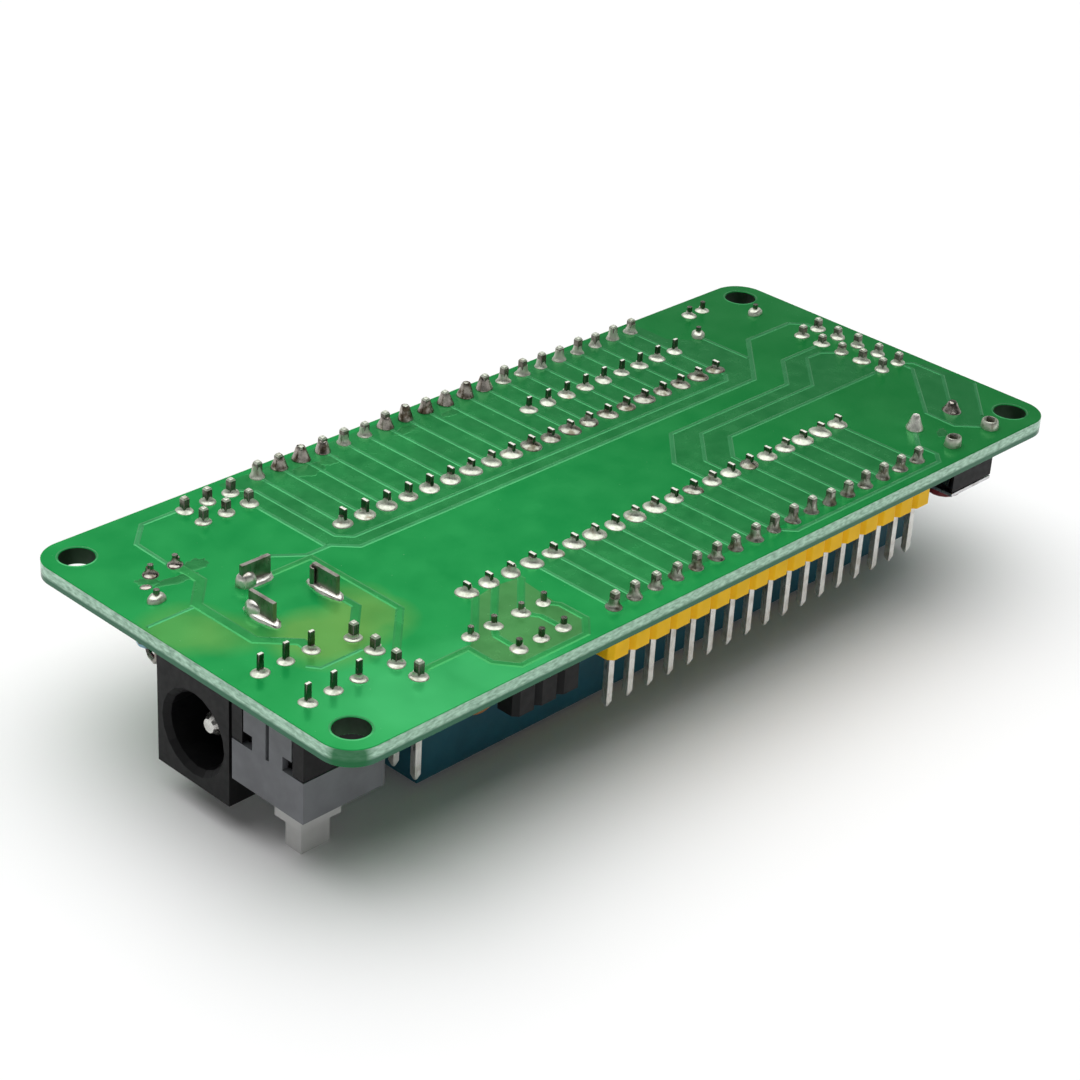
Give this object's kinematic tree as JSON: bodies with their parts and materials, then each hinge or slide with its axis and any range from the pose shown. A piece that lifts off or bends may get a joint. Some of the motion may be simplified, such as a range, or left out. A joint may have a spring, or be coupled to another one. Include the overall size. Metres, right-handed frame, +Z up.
{
  "type": "microcontroller development board",
  "caption": "Small green microcontroller development board with a lever socket, pin headers, power jack, power switch and reset switch, lying solder side up",
  "frame": {"origin": "middle of the board in plan, at the lowest point, the tip of the power switch's plunger", "axes": "+X along the board away from the power jack, +Y across it to the far header, +Z up out of the solder side"},
  "size_m": [0.09, 0.04, 0.0177],
  "materials": {
    "laminate": "green solder mask",
    "yellow_plastic": "moulded",
    "teal_plastic": "moulded",
    "grey_plastic": "moulded",
    "white_plastic": "moulded",
    "maroon_plastic": "moulded",
    "black_plastic": "moulded",
    "steel": "plain",
    "plated": "tin plated",
    "tin": "tinned",
    "ceramic": "dipped",
    "lacquer": "lacquered",
    "can_sleeve": "shrunk sleeve",
    "rubber": "plain",
    "red_lens": "clear red"
  },
  "bodies": {
    "board": {"circuit_board": "laminate", "crystal_socket_body": "black_plastic", "crystal_socket_contact_1": "plated", "crystal_socket_contact_2": "plated", "crystal_socket_contact_3": "plated", "far_header": "yellow_plastic", "isp_header": "black_plastic", "jack_centre_pin": "plated", "jack_housing": "black_plastic", "jack_pin_terminal": "plated", "jack_side_contact": "plated", "jack_sleeve_spring": "plated", "led_resistor_body": "lacquer", "led_resistor_lead_1": "tin", "led_resistor_lead_2": "tin", "load_capacitor_left_body": "ceramic", "load_capacitor_left_lead_1": "tin", "load_capacitor_left_lead_2": "tin", "load_capacitor_right_body": "ceramic", "load_capacitor_right_lead_1": "tin", "load_capacitor_right_lead_2": "tin", "near_header": "yellow_plastic", "power_header": "black_plastic", "power_led_lead_1": "tin", "power_led_lead_2": "tin", "power_led_lens": "red_lens", "reset_base": "black_plastic", "reset_capacitor_can": "can_sleeve", "reset_capacitor_lead_1": "tin", "reset_capacitor_lead_2": "tin", "reset_capacitor_seal": "rubber", "reset_cover": "steel", "reset_dome": "steel", "reset_leg_1": "plated", "reset_leg_2": "plated", "reset_leg_3": "plated", "reset_leg_4": "plated", "reset_resistor_body": "lacquer", "reset_resistor_lead_1": "tin", "reset_resistor_lead_2": "tin", "resistor_network": "black_plastic", "serial_header": "black_plastic", "switch_base": "black_plastic", "switch_cover": "grey_plastic", "switch_spring": "steel", "zif_base": "teal_plastic"},
    "zif_cover": {"zif_cover": "teal_plastic"},
    "zif_lever": {"zif_lever": "steel", "zif_lever_grip": "black_plastic", "zif_cam": "black_plastic"},
    "power_button": {"switch_plunger": "white_plastic", "switch_clip_near": "plated", "switch_clip_far": "plated"},
    "reset_button": {"reset_button": "maroon_plastic"}
  },
  "joints": [
    {"name": "zif_lever_turn", "type": "hinge", "parent": "board", "child": "zif_lever", "pos_m": [0.0327, -0.00053, 0.0043], "axis": [0, -1, 0], "range_deg": [0, 90]},
    {"name": "zif_cover_slide", "type": "slide", "parent": "board", "child": "zif_cover", "axis": [-1, 0, 0], "range_m": [0, 0.0006]},
    {"name": "power_switch_press", "type": "slide", "parent": "board", "child": "power_button", "axis": [0, 0, 1], "range_m": [0, 0.002], "stiffness_N_per_m": 150, "springref_m": -0.002, "deforming": ["switch_spring"]},
    {"name": "reset_press", "type": "slide", "parent": "board", "child": "reset_button", "axis": [0, 0, 1], "range_m": [0, 0.0002], "stiffness_N_per_m": 1500, "springref_m": -0.0002}
  ],
  "couplings": [
    {"joint": "zif_lever_turn", "follows": "zif_cover_slide", "rad_per_m": 2618}
  ]
}
